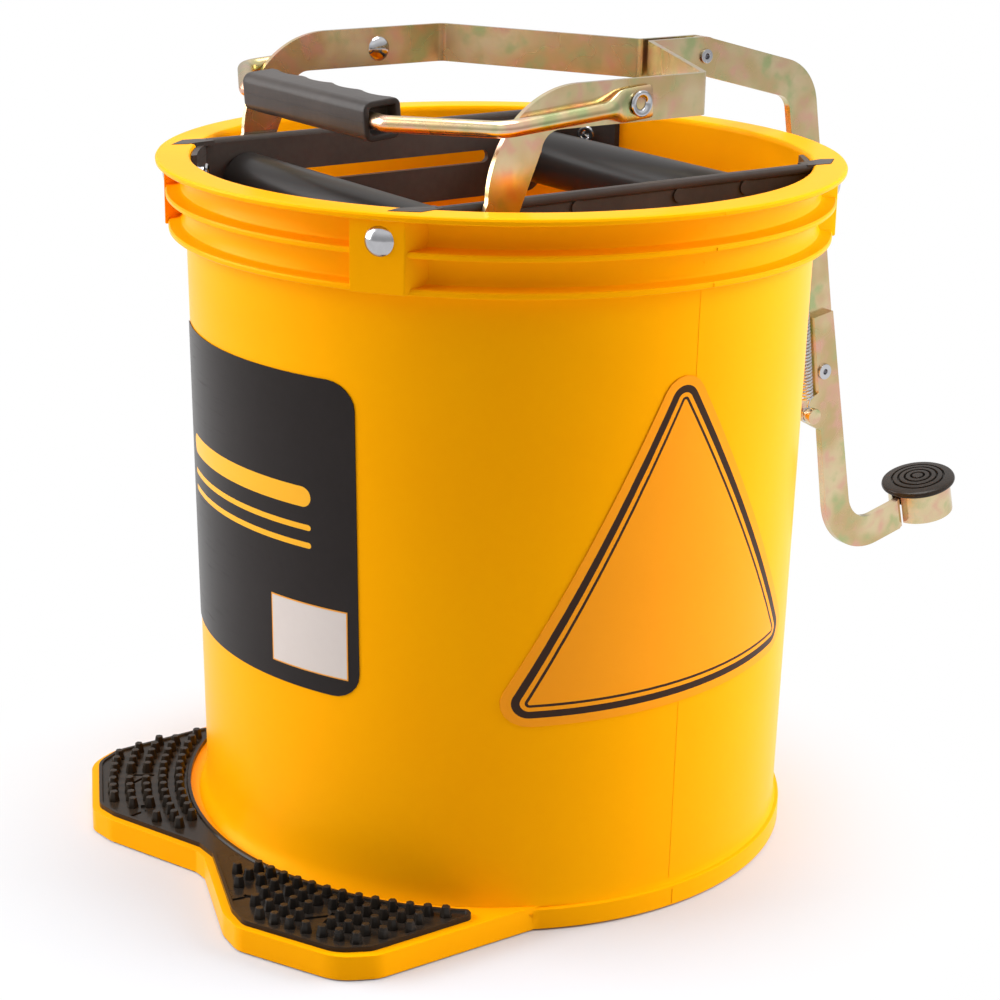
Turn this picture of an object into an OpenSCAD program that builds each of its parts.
// Wringer mop bucket: a round plastic bucket with a foot platform, a pair of
// rollers between two side plates, and a foot pedal whose steel yoke pulls the
// squeeze roller towards the fixed roller. A carrying handle hinges on the yoke.
//
// Frame: origin on the floor, on the bucket's axis. +Z is up, +X points to the
// pedal, -X to the foot platform, and the rollers run along Y.

/* [Bucket] */
// Height of the rim above the floor
rim_h = 318; // [300:1:330]
// Outer radius of the body just under the rim ribs
body_r = 142.5; // [139:0.5:146]
// How much smaller the body's radius is at the floor than under the ribs
body_draft = 4.2; // [2:0.2:7]
// Wall thickness of the bucket
wall_t = 2.8; // [2.2:0.1:3.4]
// How far the rim lip stands out from the body
lip_out = 12.9; // [10:0.1:14]
// Thickness of the floor of the bucket
floor_t = 3.5; // [2.5:0.5:5]

/* [Foot platform] */
// Height of the platform's deck above the floor
plat_h = 11; // [10:0.5:14]
// How far the platform's lobes reach out past the body
plat_out = 39.5; // [35:0.5:47]
// How far the platform's sides stay in from the body's radius
plat_tuck = 18.5; // [14:0.5:22]
// Height of the studs on the foot pad
stud_h = 4.6; // [3:0.2:6]
// Base radius of one stud
stud_r = 2.7; // [2.2:0.1:3]

/* [Wringer] */
// Radius of both rollers
roller_r = 13.4; // [11:0.1:15]
// Distance of each roller's axis in from the body's radius
roller_in = 62.5; // [60:0.5:68]
// Depth of the rollers' axes below the rim
roller_drop = 20.5; // [18:0.5:26]
// Radius of the axles
axle_r = 3; // [2.5:0.1:3.2]
// Distance of the side plates' outer faces in from the body's radius
plate_set = 47; // [46:0.5:49.5]
// Thickness of the side plates
plate_t = 3; // [2.5:0.1:3.2]
// Depth of the side plates below the rim
plate_drop = 40.5; // [38:0.5:46]
// Distance from the guide slot's end to the fixed roller's axis
slot_stop = 22; // [20:1:30]

/* [Yoke and handle] */
// Width of the steel strips
strip_w = 18; // [16:0.5:19]
// Thickness of the yoke straps
strap_t = 2.5; // [2:0.1:2.8]
// Height of the yoke's centre line above the rim
yoke_rise = 36.5; // [34:0.5:40]
// Distance of the straps' fold in from the body's radius
fold_in = 108; // [102:0.5:114]
// Radius of the handle's rod
rod_r = 3.5; // [3:0.1:3.8]
// Half of the handgrip's length
grip_half = 50; // [46:0.1:54]
// Width of the handgrip's section
grip_w = 18; // [16:0.5:20]
// Height of the handgrip's section
grip_t = 16; // [15:0.5:18]

/* [Pedal] */
// Thickness of the pedal arm and of the pedal lever
arm_t = 4; // [3:0.2:4.4]
// Distance of the pedal's pivot from the bucket's wall
pivot_out = 9.5; // [9:0.25:11]
// Depth of the pedal's pivot below the rim
pivot_drop = 82; // [78:1:86]
// Radius of the pedal's round tread
tread_r = 20; // [17:0.5:22]
// Radius of the spring's coil, to the middle of the wire
coil_r = 3.0; // [2.6:0.1:3.2]
// Radius of the spring's wire
wire_r = 0.6; // [0.5:0.05:0.75]

/* [Hidden] */
smooth = 96;
fine = 48;
fit = 0.05;
seat = 0.3;
tiny = 0.02;
many = 200;

// places that keep their distance from the body
plat_reach = body_r + plat_out;
plat_half = body_r - plat_tuck;
roller_x = body_r - roller_in;
plate_y = body_r - plate_set;
slot_end = roller_x - slot_stop;
fold_x = body_r - fold_in;

// bucket
rib_t = 2.6;
band_h = 33.5;
band_z = rim_h - band_h;
lip_t = 3.2;
lip_r = body_r + lip_out;
rib_r = body_r + 8.4;
low_rib_r = body_r + 7.8;
mid_rib_z = rim_h - 18.4;
recess_r = body_r + 1;
foot_r = body_r - body_draft + 2.9;
foot_h = 10;
base_r = body_r - body_draft;
inner_top = body_r - wall_t + 0.2;
inner_low = base_r - wall_t;
under_z = 3;
hub_r = 22;
deck_z = under_z + floor_t;
block_r = body_r + 9;
block_ang = 36;
block_half = 12;
rivet_z = rim_h - 12;
rivet_r = 3;

// foot platform
notch_x = plat_reach - 20;
skirt_t = 3;
web_t = 2;
web_step = 32;
pad_t = 2;
pad_in = 3;
pad_end = plat_reach - 94;
stud_gap = 8.4;
stud_in = 5.5;
pad_arc_r = base_r + 8.7;
slot_w = 3;
slot_len = 10;
far_slot = [plat_reach - 27, plat_half - 40];
near_slot = [plat_reach - 9, plat_half - 77];

// wringer
roller_z = rim_h - roller_drop;
plate_in = plate_y - plate_t;
plate_top = rim_h;
plate_low = rim_h - plate_drop;
plate_r = inner_top - 0.5;
side_x = sqrt(plate_r * plate_r - plate_y * plate_y);
bead_r = 2.3;
slot_half = axle_r + 0.12;
slot_start = -roller_x - 5;
boss_r = 9.5;
boss_t = 2.2;
film_t = 0.25;
roller_half = plate_in - 1;
tube_t = 2.6;
cap_len = 10;
flange_t = 2.5;
flange_y = 68;
flange_low = rim_h - 34;
tongue_t = 2;

// yoke: the eye sits on the squeeze axle, the pin joins it to the pedal arm
yoke_z = rim_h + yoke_rise;
strap_in = plate_y + 2.2;
strap_out = strap_in + strap_t;
half_w = strip_w / 2;
eye_x = -roller_x;
eye_z = roller_z;
elbow_in = half_w;
elbow_x = eye_x + 37;
elbow_z = yoke_z - half_w - elbow_in;
// the elbow's outside is a wider arc: its centre lies this much lower and further in
elbow_drop = 18;
elbow_shift = 10;
pin_x = fold_x + 80;
pin_z = yoke_z;
tab_x = fold_x + 47.5;
tab_in = arm_t / 2 + seat;
tab_end = pin_x + half_w;
eye_r = 9.5;
eye_play = 4.1;
eye_slot = axle_r + 0.4;
pin_r = 2.5;
pin_head_r = 3.4;

// handle: modelled about its own hinge, then tipped and moved into place
hinge_x = fold_x - 38;
hinge_z = yoke_z - 1;
handle_tip = 4.36;
handle_len = 96;
rod_y = strap_out + 0.5 + rod_r;
bend_x = 70;
bend_r = 10;
grip_bend = 6;
bend_swell = 0.03;
hinge_r = 2.5;
hinge_head_r = 4.2;
lug_t = 2.4;

// pedal
pivot_x = body_r + pivot_out;
pivot_z = rim_h - pivot_drop;
pivot_r = 3;
bracket_gap = 0.7;
bracket_t = 2;
ear_r = pivot_out - bracket_gap - bracket_t - seat;
arm_run = 55.8;
arm_dip = 14.5;
arm_lean = 9.9;
arm_in = 8.5;
arm_low = rim_h - 142;
lever_top = rim_h - 99.5;
lever_bend_z = rim_h - 204.6;
lever_in = 15.4;
lever_half = 8.4;
lever_slim = 6.6;
ring_reach = 40.4;
lever_tail = 22;
lever_rise = 13.5;
ring_r = 17;
ring_t = 3.2;
ring_h = 16.5;
tread_h = 3.6;
tread_dome = 1.6;

function unit(v) = v / norm(v);
function down(a) = [sin(a), -cos(a)];
function along(a) = [cos(a), sin(a)];

// points of an arc
function arc(c, r, a0, a1, n) =
    [for (i = [0 : n]) c + r * along(a0 + (a1 - a0) * i / n)];

// points that round the corner p between its neighbours a and b
function corner(p, a, b, r, n) =
    let (u = unit(a - p), w = unit(b - p), half = acos(u * w) / 2)
    let (c = p + unit(u + w) * r / sin(half), s = p + u * r / tan(half))
    let (e = p + w * r / tan(half), a0 = atan2(s.y - c.y, s.x - c.x))
    let (a1 = atan2(e.y - c.y, e.x - c.x), da = (a1 - a0 + 540) % 360 - 180)
    [for (i = [0 : n]) c + r * along(a0 + da * i / n)];

// a closed outline of [x, y, corner radius] with its corners rounded
function rounded(pts, n) =
    [for (i = [0 : len(pts) - 1])
        let (m = len(pts), q = pts[i], a = pts[(i + m - 1) % m], b = pts[(i + 1) % m])
        each (q.z > 0
            ? corner([q.x, q.y], [a.x, a.y], [b.x, b.y], q.z, n)
            : [[q.x, q.y]])];

// ---------------------------------------------------------------- helpers

// extrudes an outline drawn in X and Z between two values of Y
module between_y(y0, y1) {
    translate([0, y1, 0])
        rotate([90, 0, 0])
            linear_extrude(y1 - y0)
                children();
}

// a round bar along Y between two values of Y
module bar_y(x, z, y0, y1, r) {
    translate([x, y0, z])
        rotate([-90, 0, 0])
            cylinder(h = y1 - y0, r = r, $fn = fine);
}

// a round bar that points outwards from the bucket's axis at an angle
module bar_out(ang, z, r0, r1, r) {
    rotate([0, 0, ang])
        translate([r0, 0, z])
            rotate([0, 90, 0])
                cylinder(h = r1 - r0, r = r, $fn = fine);
}

// a ring around the Z axis
module ring(r_out, r_in, h) {
    difference() {
        cylinder(h = h, r = r_out, $fn = smooth);
        translate([0, 0, -1])
            cylinder(h = h + 2, r = r_in, $fn = smooth);
    }
}

// a rounded slot in X and Z
module slot_shape(x0, x1, z, half) {
    translate([x0, z - half])
        square([x1 - x0, 2 * half]);
    translate([x0, z])
        circle(r = half, $fn = fine);
    translate([x1, z])
        circle(r = half, $fn = fine);
}

// ---------------------------------------------------------------- bucket

function shell_profile() = concat(
    [[0, 0], [hub_r, 0], [hub_r + 1.5, under_z]],
    [[foot_r - 12, under_z], [foot_r - 9, 0], [foot_r, 0]],
    [[foot_r, foot_h - 2.5], [foot_r - 0.8, foot_h - 0.8], [base_r + 0.2, foot_h + 1.2]],
    [[body_r, band_z - tiny], [body_r + 1, band_z], [low_rib_r, band_z]],
    [[low_rib_r, band_z + rib_t - 0.4], [low_rib_r - 0.4, band_z + rib_t]],
    [[recess_r + 2, band_z + rib_t + 0.4], [recess_r, band_z + rib_t + 2.2]],
    [[recess_r, mid_rib_z - 1.6], [recess_r + 1.4, mid_rib_z], [rib_r, mid_rib_z]],
    [[rib_r, mid_rib_z + rib_t - 0.4], [rib_r - 0.4, mid_rib_z + rib_t]],
    [[recess_r + 2, mid_rib_z + rib_t + 0.4], [recess_r, mid_rib_z + rib_t + 2.2]],
    [[recess_r, rim_h - lip_t - 2], [recess_r + 2, rim_h - lip_t], [lip_r - 0.5, rim_h - lip_t]],
    [[lip_r, rim_h - lip_t + 0.5], [lip_r, rim_h - 1], [lip_r - 1, rim_h - 0.2]],
    [[lip_r - 2, rim_h], [inner_top + 1.2, rim_h], [inner_top + 0.3, rim_h - 0.4]],
    [[inner_top, rim_h - 1.3], [inner_low, deck_z + 9], [inner_low - 2.2, deck_z + 3.2]],
    [[inner_low - 6.5, deck_z + 0.6], [inner_low - 10, deck_z], [0, deck_z]]
);

// half of the platform's outline, and the whole of it
function plat_side() = [
    [-notch_x, 4, 3],
    [-plat_reach + 1.5, plat_half * 0.44, 14],
    [-plat_reach, plat_half * 0.56, 9],
    [-plat_reach + 22, plat_half * 0.93, 16],
    [-plat_reach + 38, plat_half * 0.995, 12],
    foot_point(-3, 115.7)
];

// a point of the outline just inside the tub's foot, where the platform ends
function foot_point(out, ang) = [(foot_r + out) * cos(ang), (foot_r + out) * sin(ang), 0];

function mirror_path(half) = concat(
    half,
    [for (i = [len(half) - 1 : -1 : 0]) [half[i].x, -half[i].y, half[i].z]]
);

module platform_shape() {
    polygon(rounded(mirror_path(plat_side()), 6));
}

// the platform's outline moved inwards, for its hollow underside and its pad
function inset_side(d) = [
    [-notch_x + d, 4 + d * 0.7, 2],
    [-plat_reach + 1.5 + d, plat_half * 0.44 + d * 0.5, 10],
    [-plat_reach + d, plat_half * 0.56, 6],
    [-plat_reach + 22 + d, plat_half * 0.93 - d * 0.7, 12],
    [-plat_reach + 38 + d * 0.4, plat_half * 0.995 - d, 8],
    foot_point(-6 - d, 117)
];

module inset_shape(d) {
    polygon(rounded(mirror_path(inset_side(d)), 6));
}

// the platform, moulded on to the tub's foot; hollow and webbed below
module foot_platform() {
    color([0.96, 0.72, 0.03])
        difference() {
            linear_extrude(plat_h)
                platform_shape();
            difference() {
                translate([0, 0, -1])
                    linear_extrude(plat_h - skirt_t + 1)
                        inset_shape(skirt_t);
                for (k = [-3 : 3])
                    translate([-plat_reach, k * web_step - web_t / 2, 0])
                        cube([plat_reach, web_t, plat_h]);
                translate([-plat_reach + 25, -plat_half, 0])
                    cube([web_t, 2 * plat_half, plat_h]);
            }
            translate([0, 0, -1])
                cylinder(h = plat_h + 2, r = foot_r + tiny, $fn = smooth);
        }
}

// a block that carries one rivet through the rim band
module rim_block() {
    y0 = block_r * sin(block_ang) - block_half * cos(block_ang);
    y1 = block_r * sin(block_ang) + block_half * cos(block_ang);
    intersection() {
        translate([0, 0, band_z])
            ring(lip_r, body_r - 1, band_h - lip_t + 1);
        translate([0, y0, band_z])
            cube([lip_r, y1 - y0, band_h]);
        rotate([0, 0, block_ang])
            translate([0, -lip_r, band_z])
                cube([block_r, 2 * lip_r, band_h]);
    }
}

module four_corners() {
    for (a = [0, 1])
        mirror([a, 0, 0])
            for (b = [0, 1])
                mirror([0, b, 0])
                    children();
}

// the outline of a side plate's tongue, seen from above
function tongue_pts(g) = [
    [side_x - 4, plate_in - 2 - g],
    [side_x - 4, plate_y + 1.5 + g],
    [side_x + 8, plate_y + 3.5 + g],
    [side_x + 18 + 1.5 * g, plate_y - 5],
    [side_x + 12 + g, plate_in - 4.5 - g]
];

module bucket_shell() {
    color([0.96, 0.72, 0.03])
        difference() {
            union() {
                rotate_extrude($fn = smooth)
                    polygon(shell_profile());
                four_corners()
                    rim_block();
                // flat pad for the pivot bracket
                intersection() {
                    translate([base_r - 4, -19, pivot_z - 28])
                        cube([body_r + bracket_gap - base_r + 4, 38, 58]);
                    ring(lip_r, base_r - 1, rim_h);
                }
            }
            for (a = [block_ang, -block_ang, 180 - block_ang, 180 + block_ang])
                bar_out(a, rivet_z, inner_top - 6, lip_r, rivet_r + fit);
            // pockets in the rim for the side plates' tongues
            four_corners()
                translate([0, 0, rim_h - tongue_t - 0.2])
                    linear_extrude(tongue_t + 1)
                        polygon(tongue_pts(seat));
            for (s = [-1, 1])
                translate([base_r - 8, s * 12.5, pivot_z])
                    rotate([0, 90, 0])
                        cylinder(h = 20, r = 2 + fit, $fn = fine);
        }
}

// ---------------------------------------------------------------- foot pad

module pad_shape() {
    difference() {
        intersection() {
            inset_shape(pad_in);
            translate([-plat_reach, -plat_half])
                square([pad_end, 2 * plat_half]);
        }
        circle(r = pad_arc_r, $fn = smooth);
    }
}

// true where a stud may stand: clear of the pad's edges, its slots and the arc
function stud_ok(x, y) =
    let (ay = abs(y), rr = norm([x, y]))
    let (front = -plat_reach + 9 + max(0, (plat_half * 0.5 - ay)) * 0.34)
    let (slope = -plat_reach + 9 + max(0, (ay - plat_half * 0.6)) * 0.5)
    rr > pad_arc_r + stud_in - 1 && x > front && x > slope && ay < plat_half - 8.5
    && x < pad_end - plat_reach - 5 && ay > 9
    && !(abs(x + far_slot.x - 5) < 6.5 && abs(ay - far_slot.y) < 6)
    && !(abs(x + near_slot.x - 5) < 6.5 && abs(ay - near_slot.y) < 6);

module foot_pad() {
    rows = ceil((norm([plat_reach, plat_half]) - pad_arc_r) / stud_gap);
    cols = ceil(plat_half / stud_gap) + 4;
    color([0.2, 0.19, 0.19])
        union() {
            difference() {
                translate([0, 0, plat_h])
                    linear_extrude(pad_t)
                        pad_shape();
                for (s = [-1, 1])
                    for (p = [far_slot, near_slot])
                        translate([-p.x, s * p.y - slot_w / 2, plat_h - 1])
                            cube([slot_len, slot_w, pad_t + 2]);
            }
            // studs stand on arcs about the bucket's axis
            for (j = [0 : rows])
                for (i = [-cols : cols])
                    let (r = pad_arc_r + stud_in + j * stud_gap)
                    let (a = 180 + (i + 0.5 * (j % 2)) * stud_gap / r * 180 / PI)
                    if (stud_ok(r * cos(a), r * sin(a)))
                        translate([r * cos(a), r * sin(a), plat_h + pad_t - tiny])
                            cylinder(h = stud_h, r1 = stud_r, r2 = stud_r * 0.62, $fn = 24);
        }
}

// ---------------------------------------------------------------- rivets and labels

// a solid rivet with a domed head outside the rim and a rolled end inside
module rim_rivet(ang) {
    head_r = 6.3;
    back = plate_r - flange_t - 2 * fit;
    color([0.8, 0.8, 0.82])
        rotate([0, 0, ang])
            translate([0, 0, rivet_z])
                rotate([0, 90, 0])
                    rotate_extrude($fn = fine)
                        polygon(concat(
                            [[0, back + 3], [1.8, back + 3], [1.8, back - 2], [3.6, back - 2]],
                            [[4.4, back - 1.4], [4.4, back], [rivet_r, back]],
                            [[rivet_r, block_r + tiny], [head_r, block_r + tiny]],
                            [for (i = [0 : 6])
                                let (a = i * 15)
                                [head_r * cos(a), block_r + 0.5 + 1.9 * sin(a)]]
                        ));
}

module rim_rivet_front_left() {
    rim_rivet(180 + block_ang);
}

module rim_rivet_back_left() {
    rim_rivet(180 - block_ang);
}

module rim_rivet_front_right() {
    rim_rivet(-block_ang);
}

module rim_rivet_back_right() {
    rim_rivet(block_ang);
}

// a skin that follows the body's taper between two offsets, cut by its children
module skin(t0, t1) {
    grow = (body_r - base_r) / (band_z - foot_h - 1.2);
    low = base_r + 0.2 - grow * (foot_h + 1.2);
    top = low + grow * band_z;
    intersection() {
        difference() {
            cylinder(h = band_z, r1 = low + t1, r2 = top + t1, $fn = smooth);
            translate([0, 0, -1])
                cylinder(h = band_z + 2, r1 = low + t0 - grow, r2 = top + t0 + grow, $fn = smooth);
        }
        children();
    }
}

module name_panel() {
    w = body_r - 0.5;
    h = rim_h - 176.5;
    z0 = 102;
    color([0.14, 0.13, 0.14])
        skin(0, film_t)
            rotate([90, 0, -90])
                linear_extrude(body_r + 10)
                    translate([-w / 2, z0])
                        polygon(rounded([[0, 0, 12], [w, 0, 12], [w, h, 12], [0, h, 12]], 6));
}

module paper_patch() {
    color([0.93, 0.92, 0.88])
        skin(film_t + 0.05, film_t + 0.25)
            rotate([90, 0, -70.3])
                linear_extrude(body_r + 10)
                    translate([-21, 110.5])
                        square([42, 31.5]);
}

module side_sticker() {
    color([1.0, 0.62, 0.05])
        skin(0, film_t)
            rotate([90, 0, 0])
                linear_extrude(body_r + 10)
                    translate([0, 99])
                        rotate(2.3)
                            polygon(rounded([[-86, 0, 11], [86, 0, 11], [0, 160, 11]], 6));
}

// ---------------------------------------------------------------- side plates

module plate_shape() {
    difference() {
        polygon(rounded([[-side_x, plate_low + 14, 0], [-side_x + 16, plate_low, 8],
                         [side_x - 16, plate_low, 8], [side_x, plate_low + 14, 0],
                         [side_x, plate_top - 1.5, 0], [-side_x, plate_top - 1.5, 0]], 5));
        slot_shape(slot_start + slot_half, slot_end - slot_half, roller_z, slot_half);
        translate([roller_x, roller_z])
            circle(r = axle_r + fit, $fn = fine);
    }
}

// the side plate on the +Y side
module side_plate() {
    color([0.2, 0.19, 0.19])
        difference() {
            union() {
                between_y(plate_in, plate_y)
                    plate_shape();
                // rounded bead along the top edge
                translate([-side_x + bead_r, plate_y - 0.6, plate_top - 1.8])
                    rotate([0, 90, 0])
                        cylinder(h = 2 * (side_x - bead_r), r = bead_r, $fn = fine);
                // thickened edges above and below the guide slot
                for (s = [-1, 1])
                    translate([slot_start - 2, plate_y - tiny, roller_z + s * (slot_half + 2.2) - 1.2])
                        cube([slot_end - slot_start + 4, 1, 2.4]);
                // boss that holds the fixed axle
                bar_y(roller_x, roller_z, plate_in + tiny, plate_y + boss_t, boss_r);
                // moulded dots along the top
                for (x = [-29.5, 25, 62.5])
                    bar_y(x, rim_h - 6.5, plate_y - tiny, plate_y + 0.8, 3);
                for (s = [-1, 1])
                    intersection() {
                        translate([0, 0, flange_low])
                            ring(plate_r, plate_r - flange_t, rim_h - 1.5 - flange_low);
                        translate([s > 0 ? 40 : -200, flange_y, flange_low])
                            cube([160, plate_y - flange_y, rim_h]);
                    }
                for (s = [0, 1])
                    mirror([s, 0, 0])
                        translate([0, 0, rim_h - tongue_t])
                            linear_extrude(tongue_t + 0.2)
                                polygon(tongue_pts(0));
            }
            bar_y(roller_x, roller_z, plate_in - 1, plate_y + boss_t + 1, axle_r + fit);
            bar_out(block_ang, rivet_z, plate_r - 8, plate_r + 4, rivet_r + fit);
            bar_out(180 - block_ang, rivet_z, plate_r - 8, plate_r + 4, rivet_r + fit);
        }
}

module side_plate_back() {
    side_plate();
}

module side_plate_front() {
    mirror([0, 1, 0])
        side_plate();
}

// ---------------------------------------------------------------- rollers

module roller(x) {
    color([0.17, 0.16, 0.16])
        difference() {
            bar_y(x, roller_z, -roller_half, roller_half, roller_r);
            bar_y(x, roller_z, -roller_half - 1, roller_half + 1, roller_r - tube_t);
        }
}

module roller_cap(x, side) {
    y0 = side > 0 ? roller_half - cap_len : -roller_half;
    color([0.25, 0.24, 0.24])
        difference() {
            union() {
                bar_y(x, roller_z, y0, y0 + cap_len, roller_r - tube_t - fit);
                bar_y(x, roller_z, side > 0 ? roller_half - 1 : -roller_half - 0.4,
                      side > 0 ? roller_half + 0.4 : -roller_half + 1, axle_r + 2.5);
            }
            bar_y(x, roller_z, y0 - 2, y0 + cap_len + 2, axle_r + fit);
        }
}

module fixed_roller() {
    roller(roller_x);
}

module fixed_cap_front() {
    roller_cap(roller_x, -1);
}

module fixed_cap_back() {
    roller_cap(roller_x, 1);
}

module fixed_axle() {
    color([0.75, 0.75, 0.77])
        bar_y(roller_x, roller_z, -plate_y - boss_t - 1, plate_y + boss_t + 1, axle_r);
}

module squeeze_roller() {
    roller(-roller_x);
}

module squeeze_cap_front() {
    roller_cap(-roller_x, -1);
}

module squeeze_cap_back() {
    roller_cap(-roller_x, 1);
}

module squeeze_axle() {
    color([0.75, 0.75, 0.77])
        bar_y(eye_x, eye_z, -strap_out - 4.5, strap_out + 4.5, axle_r);
}

// a pressed cap that keeps the strap on the squeeze axle
module axle_clip(side) {
    y0 = side > 0 ? strap_out + seat : -strap_out - seat - 3;
    color([0.72, 0.72, 0.74])
        difference() {
            bar_y(eye_x, eye_z, y0, y0 + 3, 5.5);
            bar_y(eye_x, eye_z, y0 - 1, y0 + 4, axle_r + fit);
        }
}

module axle_clip_front() {
    axle_clip(-1);
}

module axle_clip_back() {
    axle_clip(1);
}

// ---------------------------------------------------------------- yoke

// the leg and elbow of a strap, drawn in X and Z
module strap_side_shape() {
    inner = elbow_x - elbow_in;
    outer = inner - strip_w + elbow_shift - elbow_drop;
    sweep = elbow_in + strip_w + elbow_drop;
    difference() {
        union() {
            translate([eye_x, eye_z - 3])
                circle(r = eye_r, $fn = fine);
            polygon([[eye_x - eye_r, eye_z - 3], [eye_x + eye_r, eye_z - 3], [inner, elbow_z + 1],
                     [outer + 6, elbow_z + 1], [outer, elbow_z - elbow_drop]]);
            // wide sweep of the elbow's outside
            intersection() {
                translate([elbow_x + elbow_shift, elbow_z - elbow_drop])
                    circle(r = sweep, $fn = many);
                translate([elbow_x + elbow_shift - 70, elbow_z - elbow_drop])
                    square([71, 70]);
            }
            translate([elbow_x + elbow_shift, yoke_z - half_w])
                square([fold_x - 8 - elbow_x - elbow_shift, strip_w]);
        }
        // open corner under the arm
        polygon([[inner, elbow_z], [inner, elbow_z + 1 - tiny], [eye_x + eye_r, eye_z - 3],
                 [elbow_x + elbow_shift + 2, eye_z - 3],
                 [elbow_x + elbow_shift + 2, elbow_z + elbow_in], [elbow_x, elbow_z + elbow_in]]);
        translate([elbow_x, elbow_z])
            circle(r = elbow_in, $fn = fine);
        translate([eye_x - eye_slot, eye_z - eye_play])
            square([2 * eye_slot, eye_play]);
        translate([eye_x, eye_z])
            circle(r = eye_slot, $fn = fine);
        translate([eye_x, eye_z - eye_play])
            circle(r = eye_slot, $fn = fine);
        translate([hinge_x, hinge_z])
            circle(r = hinge_r + fit, $fn = fine);
    }
}

// the fold of a strap, seen from above: along the side, in, then along the arm
function strap_plan() = rounded([
    [fold_x - 10, strap_in, 0],
    [fold_x - 1.5, strap_in, 4],
    [tab_x - 1.5, tab_in, 4],
    [tab_end, tab_in, 0],
    [tab_end, tab_in + strap_t, 0],
    [tab_x, tab_in + strap_t, 1.5],
    [fold_x, strap_out, 6.5],
    [fold_x - 10, strap_out, 0]
], 6);

// the strap on the +Y side
module strap() {
    color([0.86, 0.8, 0.55])
        difference() {
            union() {
                between_y(strap_in, strap_out)
                    strap_side_shape();
                translate([0, 0, yoke_z - half_w])
                    linear_extrude(strip_w)
                        polygon(strap_plan());
            }
            // rounded end of the tab
            difference() {
                translate([pin_x, 0, pin_z - strip_w])
                    cube([strip_w, 20, 2 * strip_w]);
                bar_y(pin_x, pin_z, -1, 21, half_w);
            }
            bar_y(pin_x, pin_z, -1, 20, pin_r + fit);
        }
}

module strap_back() {
    strap();
}

module strap_front() {
    mirror([0, 1, 0])
        strap();
}

// a tubular rivet with rolled ends
module tube_rivet(x, z, y0, y1, r, head) {
    difference() {
        union() {
            bar_y(x, z, y0, y1, r);
            bar_y(x, z, y0 - 1.2, y0, head);
            bar_y(x, z, y1, y1 + 1.2, head);
        }
        bar_y(x, z, y0 - 3, y1 + 3, r * 0.55);
    }
}

module clevis_rivet() {
    y = tab_in + strap_t;
    color([0.85, 0.82, 0.7])
        tube_rivet(pin_x, pin_z, -y, y, pin_r, pin_head_r);
}

// ---------------------------------------------------------------- handle

// a rivet with a rolled end outside and a domed head inside the strap
module handle_rivet(side) {
    y0 = strap_in;
    y1 = strap_out + 0.3 + lug_t;
    color([0.85, 0.82, 0.7])
        mirror([0, side > 0 ? 0 : 1, 0])
            difference() {
                union() {
                    bar_y(hinge_x, hinge_z, y0 - 0.1, y1, hinge_r);
                    bar_y(hinge_x, hinge_z, y1 + 0.1, y1 + 1.5, hinge_head_r);
                    bar_y(hinge_x, hinge_z, y1 - 0.5, y1 + 1, hinge_r);
                    intersection() {
                        translate([hinge_x, y0 + 6.2, hinge_z])
                            sphere(r = 8.6, $fn = fine);
                        bar_y(hinge_x, hinge_z, y0 - 4, y0, 5.8);
                    }
                }
                bar_y(hinge_x, hinge_z, y1 - 4, y1 + 4, 1.5);
            }
}

module handle_rivet_front() {
    handle_rivet(-1);
}

module handle_rivet_back() {
    handle_rivet(1);
}

// a round bar between two points in the handle's own plane
module rod_part(p, q) {
    d = q - p;
    translate([p.x, p.y, 0])
        rotate([0, 0, atan2(d.y, d.x)])
            rotate([0, 90, 0])
                cylinder(h = norm(d), r = rod_r, $fn = fine);
}

// centre of the arc that rounds the corner p between its neighbours a and b
function bend_centre(p, a, b, r) =
    let (u = unit(a - p), w = unit(b - p), half = acos(u * w) / 2)
    p + unit(u + w) * r / sin(half);

// where that arc meets the run towards a
function bend_end(p, a, b, r) =
    let (u = unit(a - p), w = unit(b - p), half = acos(u * w) / 2)
    p + u * r / tan(half);

// a bent piece of rod at the corner p, a hair thicker than the straight runs
module rod_bend(p, a, b, r) {
    c = bend_centre(p, a, b, r);
    e = bend_end(p, a, b, r) - c;
    f = bend_end(p, b, a, r) - c;
    intersection() {
        translate([c.x, c.y, 0])
            rotate_extrude($fn = smooth)
                translate([r, 0])
                    circle(r = rod_r + bend_swell, $fn = fine);
        translate([c.x, c.y, -rod_r - 1])
            linear_extrude(2 * rod_r + 2)
                polygon([[0, 0], 3 * (e - 0.03 * f), 3 * (e + f), 3 * (f - 0.03 * e)]);
    }
}

rod_start = [-11, rod_y];
rod_outer = [-bend_x, rod_y];
rod_inner = [-handle_len, grip_half + 3];
rod_last = [-handle_len, 0];

module handle_side() {
    rod_part(rod_start, bend_end(rod_outer, rod_start, rod_inner, bend_r));
    rod_bend(rod_outer, rod_start, rod_inner, bend_r);
    rod_part(bend_end(rod_outer, rod_inner, rod_start, bend_r),
             bend_end(rod_inner, rod_outer, rod_last, grip_bend));
    rod_bend(rod_inner, rod_outer, rod_last, grip_bend);
    // pressed flat lug around the rivet
    difference() {
        union() {
            translate([0, strap_out + 0.3, 0])
                rotate([-90, 0, 0])
                    cylinder(h = lug_t, r = 7.2, $fn = fine);
            translate([-13, strap_out + 0.3, -6])
                cube([13, lug_t, 12]);
            translate([-17, rod_y, 0])
                rotate([0, 90, 0])
                    cylinder(h = 6, r1 = rod_r, r2 = 2.2, $fn = fine);
        }
        translate([0, strap_out - 5, 0])
            rotate([-90, 0, 0])
                cylinder(h = 20, r = hinge_r + fit, $fn = fine);
        translate([-12, strap_out + 0.3 - 8, -8])
            cube([24, 8, 16]);
    }
}

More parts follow.
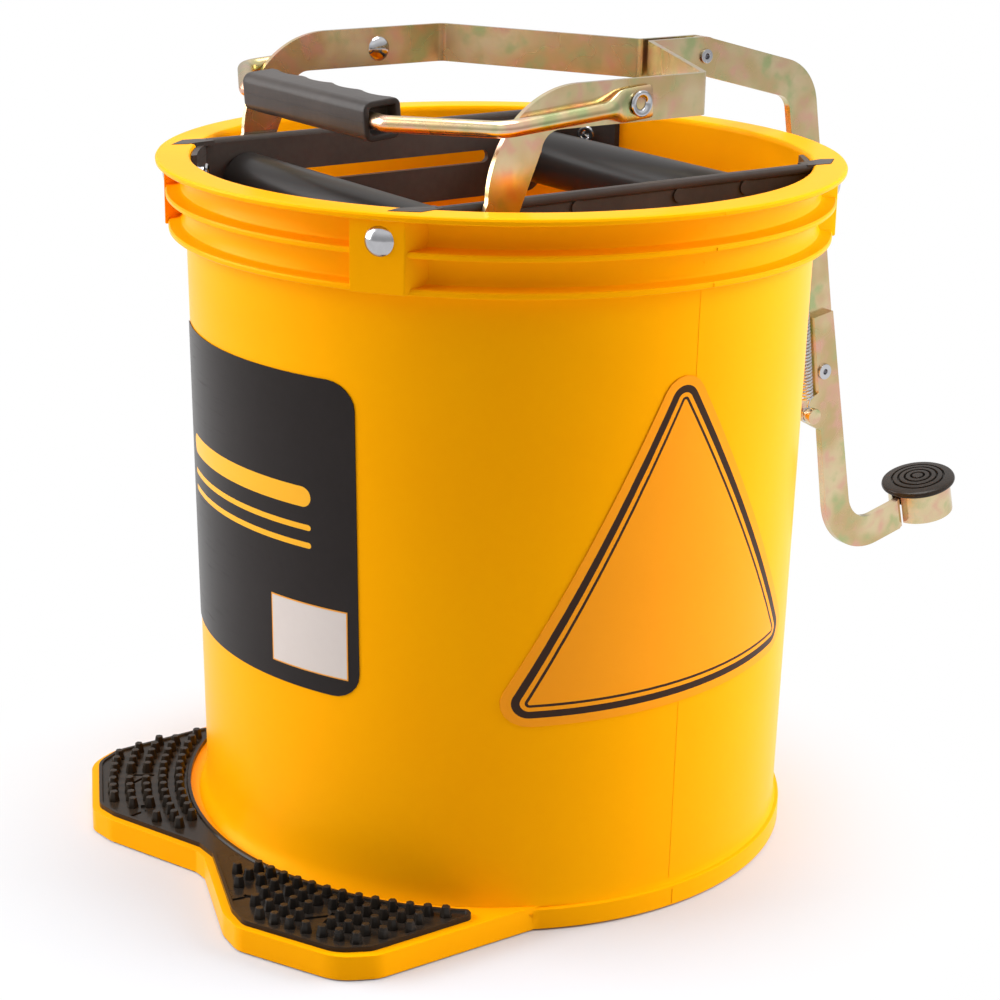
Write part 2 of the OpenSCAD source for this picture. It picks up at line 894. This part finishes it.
// puts the handle's own plane at its hinge, tipped as it rests
module handle_place() {
    translate([hinge_x, 0, hinge_z])
        rotate([0, -handle_tip, 0])
            children();
}

module handle_rod() {
    color([0.86, 0.8, 0.55])
        handle_place() {
            handle_side();
            mirror([0, 1, 0])
                handle_side();
            bar_y(-handle_len, 0, -bend_end(rod_inner, rod_last, rod_outer, grip_bend).y,
                  bend_end(rod_inner, rod_last, rod_outer, grip_bend).y, rod_r);
        }
}

module grip_section() {
    r = 4;
    w = grip_w / 2 - r;
    h = grip_t / 2 - r;
    square([2 * w + 2 * r, 2 * h], center = true);
    square([2 * w, 2 * h + 2 * r], center = true);
    for (a = [-1, 1])
        for (b = [-1, 1])
            translate([a * w, b * h])
                circle(r = r, $fn = fine);
}

module handle_grip() {
    color([0.18, 0.17, 0.17])
        handle_place()
            translate([-handle_len, 0, 0])
                difference() {
                    translate([0, grip_half, 0])
                        rotate([90, 0, 0])
                            linear_extrude(2 * grip_half)
                                grip_section();
                    // finger waves on the side that faces the hinge
                    for (k = [-1.5, -0.5, 0.5, 1.5])
                        translate([grip_w / 2 + 16.4, k * 23, -20])
                            cylinder(h = 40, r = 18.4, $fn = smooth);
                    translate([0, -grip_half - 1, 0])
                        rotate([-90, 0, 0])
                            cylinder(h = 2 * grip_half + 2, r = rod_r + fit, $fn = fine);
                    // hollow ends
                    for (s = [-1, 1])
                        translate([0, s * grip_half, 0])
                            rotate([90, 0, 0])
                                translate([0, 0, -6])
                                    cylinder(h = 12, r = 6, $fn = fine);
                }
}

// ---------------------------------------------------------------- pedal

// direction of the arm's upper run and of its lower run
arm_up = [cos(arm_dip), -sin(arm_dip)];
arm_dn = [sin(arm_lean), -cos(arm_lean)];
bend_mid = arm_in + half_w;
bend_c = [pin_x, pin_z] + arm_run * arm_up - bend_mid * [sin(arm_dip), cos(arm_dip)];
dn_start = bend_c + bend_mid * along(arm_lean);

function dn_at(z) = dn_start + arm_dn * (dn_start.y - z) / cos(arm_lean);
function rivet_at() = dn_at(rim_h - 130) - [2.6, 0];
function stud_at() = dn_at(rim_h - 150) + [-20, 0];

// outline of the arm: its round end, the inside of the bend, the ear that
// reaches the pivot, its foot, and the outside of the bend
function arm_line() = concat(
    arc([pin_x, pin_z], half_w, 90 - arm_dip, 270 - arm_dip, 16),
    arc(bend_c, arm_in, 90 - arm_dip, arm_lean, 12),
    [dn_at(pivot_z + 17) - half_w * along(arm_lean)],
    [dn_at(pivot_z + 13) - (half_w + 2) * along(arm_lean)],
    arc([pivot_x, pivot_z], ear_r, 98, 280, 16),
    [dn_at(pivot_z - 14) - (half_w + 2) * along(arm_lean)],
    [dn_at(pivot_z - 19) - half_w * along(arm_lean)],
    [dn_at(arm_low) - half_w * along(arm_lean), dn_at(arm_low) + half_w * along(arm_lean)],
    arc(bend_c, arm_in + strip_w, arm_lean, 90 - arm_dip, 20)
);

module arm_shape() {
    difference() {
        polygon(arm_line());
        translate([pin_x, pin_z])
            circle(r = pin_r + fit, $fn = fine);
        translate([pivot_x, pivot_z])
            circle(r = pivot_r + fit, $fn = fine);
        translate(rivet_at())
            circle(r = 2.5 + fit, $fn = fine);
    }
}

module pedal_arm() {
    color([0.82, 0.76, 0.5])
        between_y(-arm_t / 2, arm_t / 2)
            arm_shape();
}

// the lever's bend, its lower run and the middle of its curl
lever_c = dn_at(lever_bend_z) + (lever_in + lever_half) * along(arm_lean);
lever_dir = along(lever_rise);
lever_low = lever_c + (lever_in + lever_half) * down(lever_rise);
ring_c = lever_low + lever_dir * ring_reach;
lever_y1 = -arm_t / 2;
lever_y0 = -1.5 * arm_t;

function lever_line() = concat(
    [dn_at(lever_top) + lever_slim * along(arm_lean)],
    [dn_at(lever_top) - lever_slim * along(arm_lean)],
    arc(lever_c, lever_in + 2 * lever_half, 180 + arm_lean, 270 + lever_rise, 20),
    [lever_low + lever_dir * (ring_reach - lever_tail) + lever_half * down(lever_rise)],
    [lever_low + lever_dir * (ring_reach - lever_tail) - lever_half * down(lever_rise)],
    arc(lever_c, lever_in, 270 + lever_rise, 180 + arm_lean, 12)
);

module lever_shape() {
    difference() {
        union() {
            polygon(lever_line());
            // ear that carries the spring's stud
            translate(stud_at())
                circle(r = 4.4, $fn = fine);
            polygon([stud_at() + [0, 4.3], stud_at() + [14, 10],
                     stud_at() + [18, -14], stud_at() + [0, -4.3]]);
        }
        translate(rivet_at())
            circle(r = 2.5 + fit, $fn = fine);
        translate(stud_at())
            circle(r = 2 + fit, $fn = fine);
    }
}

// the curl at the lever's end that carries the tread, seen along its axis: the
// strip's end crosses over, runs round the tread's plug and stops short of itself
function curl_line() = concat(
    [[-lever_tail - 1, lever_y1 - tiny], [-20.8, lever_y1 + 1]],
    arc([0, 0], ring_r, 165, -170, 60),
    arc([0, 0], ring_r - ring_t, -170, 168, 48),
    [[-15.2, 1.2], [-19.6, lever_y0 + 1.1], [-lever_tail - 1, lever_y0 + tiny]]
);

module pedal_lever() {
    color([0.84, 0.76, 0.52])
        union() {
            between_y(lever_y0, lever_y1)
                lever_shape();
            translate([ring_c.x, 0, ring_c.y])
                rotate([0, -lever_rise, 0])
                    translate([0, 0, -ring_h / 2])
                        linear_extrude(ring_h)
                            polygon(curl_line());
        }
}

module lever_rivet() {
    p = rivet_at();
    color([0.85, 0.82, 0.7])
        tube_rivet(p.x, p.y, lever_y0, arm_t / 2, 2.5, 4.1);
}

module spring_stud() {
    p = stud_at();
    color([0.85, 0.8, 0.55])
        union() {
            bar_y(p.x, p.y, lever_y0 - 8, lever_y1, 2);
            bar_y(p.x, p.y, lever_y0 - 10, lever_y0 - 6.5, 4.2);
            bar_y(p.x, p.y, lever_y1, lever_y1 + 1, 3.4);
        }
}

module pedal_tread() {
    dome = (tread_r * tread_r + tread_dome * tread_dome) / (2 * tread_dome);
    color([0.2, 0.18, 0.17])
        translate([ring_c.x, 0, ring_c.y])
            rotate([0, -lever_rise, 0])
                translate([0, 0, ring_h / 2])
                    difference() {
                        rotate_extrude($fn = smooth)
                            polygon(concat(
                                [[0, -8], [ring_r - ring_t - fit, -8], [ring_r - ring_t - fit, 0]],
                                [[tread_r - 1.2, 0], [tread_r - 0.2, 0.8], [tread_r, 1.8]],
                                [[tread_r - 0.5, tread_h - 0.6]],
                                [for (i = [0 : 8])
                                    let (r = (tread_r - 1.6) * (1 - i / 8))
                                    [r, tread_h - dome + tread_dome + sqrt(dome * dome - r * r) - 0.2]]
                            ));
                        for (r = [3.5, 7, 10.5, 14])
                            translate([0, 0, tread_h - 0.9])
                                ring(r + 0.55, r - 0.55, 6);
                    }
}

// ---------------------------------------------------------------- pivot bracket

bracket_x = body_r + bracket_gap;
anchor_x = pivot_x + 20.5;
anchor_z = pivot_z + 52;
spring_y = lever_y0 - 4.2;
spring_len = norm(stud_at() - [anchor_x, anchor_z]);
spring_tail = 9;
top_loop_r = 3;
low_loop_r = 3.5;
coil_turns = 30;

// one cheek of the bracket, drawn in X and Z
module cheek_shape(tall) {
    difference() {
        union() {
            polygon([[bracket_x, pivot_z - 20], [bracket_x + 3, pivot_z - 20],
                     [pivot_x + 8, pivot_z - 4], [pivot_x + 8, pivot_z + 5],
                     [bracket_x + 3, pivot_z + 22], [bracket_x, pivot_z + 22]]);
            translate([pivot_x, pivot_z])
                circle(r = 8, $fn = fine);
            if (tall) {
                polygon([[bracket_x, pivot_z + 22], [pivot_x + 4, pivot_z + 4],
                         [anchor_x + 3.4, anchor_z - 8], [anchor_x + 3.4, anchor_z],
                         [anchor_x - 3.4, anchor_z], [anchor_x - 5.6, anchor_z - 10]]);
                translate([anchor_x, anchor_z])
                    circle(r = 3.4, $fn = fine);
            }
        }
        translate([pivot_x, pivot_z])
            circle(r = pivot_r + fit, $fn = fine);
    }
}

module pivot_bracket() {
    y0 = arm_t / 2 + seat;
    y1 = y0 + 2.4;
    color([0.8, 0.76, 0.6])
        difference() {
            union() {
                translate([bracket_x, -18, pivot_z - 24])
                    cube([bracket_t, 36, 50]);
                between_y(y0, y1)
                    cheek_shape(false);
                between_y(-y1, -y0)
                    cheek_shape(true);
                bar_y(anchor_x, anchor_z, spring_y - 3.4, -y0 - 0.2, 1.8);
                bar_y(anchor_x, anchor_z, spring_y - 4.4, spring_y - 3, 3);
            }
            for (s = [-1, 1])
                translate([bracket_x - 5, s * 12.5, pivot_z])
                    rotate([0, 90, 0])
                        cylinder(h = 12, r = 2 + fit, $fn = fine);
        }
}

module pivot_pin() {
    y = arm_t / 2 + seat + 2.4;
    color([0.78, 0.78, 0.8])
        union() {
            bar_y(pivot_x, pivot_z, -y - 1, y + 1, pivot_r);
            bar_y(pivot_x, pivot_z, -y - 2.2, -y - 0.02, 4.8);
            bar_y(pivot_x, pivot_z, y + 0.02, y + 2.2, 4.8);
        }
}

// a pan-head screw that holds the bracket to the bucket
module bracket_screw(side) {
    color([0.78, 0.78, 0.8])
        translate([0, side * 12.5, pivot_z])
            rotate([0, 90, 0])
                difference() {
                    union() {
                        translate([0, 0, base_r - 6.5])
                            cylinder(h = bracket_x + 3 - base_r + 6.5, r = 2, $fn = fine);
                        translate([0, 0, bracket_x + 2])
                            cylinder(h = 2.2, r = 4, $fn = fine);
                    }
                    translate([-3, -0.5, bracket_x + 3.4])
                        cube([6, 1, 2]);
                }
}

module bracket_screw_front() {
    bracket_screw(-1);
}

module bracket_screw_back() {
    bracket_screw(1);
}

// puts a child drawn along +Z, from 0 at the peg, on the spring's slanted line
module on_spring() {
    d = stud_at() - [anchor_x, anchor_z];
    translate([anchor_x, spring_y, anchor_z])
        rotate([0, atan2(d.x, d.y), 0])
            children();
}

// a wire loop at the spring's end, with the straight wire that joins the coil
module spring_hook(r) {
    rotate([90, 0, 0])
        rotate_extrude($fn = fine)
            translate([r, 0])
                circle(r = wire_r, $fn = 24);
    translate([0, 0, r])
        cylinder(h = spring_tail - 0.9 - r, r = wire_r, $fn = 24);
}

module spring_hook_top() {
    color([0.8, 0.8, 0.8])
        on_spring()
            spring_hook(top_loop_r);
}

module spring_hook_low() {
    color([0.8, 0.8, 0.8])
        on_spring()
            translate([0, 0, spring_len])
                mirror([0, 0, 1])
                    spring_hook(low_loop_r);
}

// the close coils, drawn as one grooved bar
module return_spring() {
    pitch = (spring_len - 2 * spring_tail) / coil_turns;
    color([0.8, 0.8, 0.8])
        on_spring()
            rotate_extrude($fn = fine)
                polygon(concat(
                    [[0, spring_tail - 0.8], [coil_r, spring_tail - 0.8]],
                    [for (i = [0 : coil_turns - 1])
                        each [[coil_r + wire_r, spring_tail + (i + 0.25) * pitch],
                              [coil_r + wire_r, spring_tail + (i + 0.65) * pitch],
                              [coil_r - 0.1, spring_tail + (i + 0.95) * pitch]]],
                    [[coil_r, spring_len - spring_tail + 0.8]],
                    [[0, spring_len - spring_tail + 0.8]]
                ));
}

// node to draw, or all of them

bucket_shell();
foot_platform();
foot_pad();
name_panel();
paper_patch();
side_sticker();
rim_rivet_front_left();
rim_rivet_back_left();
rim_rivet_front_right();
rim_rivet_back_right();
side_plate_front();
side_plate_back();
fixed_roller();
fixed_cap_front();
fixed_cap_back();
fixed_axle();
squeeze_roller();
squeeze_cap_front();
squeeze_cap_back();
squeeze_axle();
axle_clip_front();
axle_clip_back();
strap_front();
strap_back();
clevis_rivet();
handle_rivet_front();
handle_rivet_back();
handle_rod();
handle_grip();
pedal_arm();
pedal_lever();
lever_rivet();
spring_stud();
pedal_tread();
pivot_bracket();
pivot_pin();
bracket_screw_front();
bracket_screw_back();
return_spring();
spring_hook_top();
spring_hook_low();
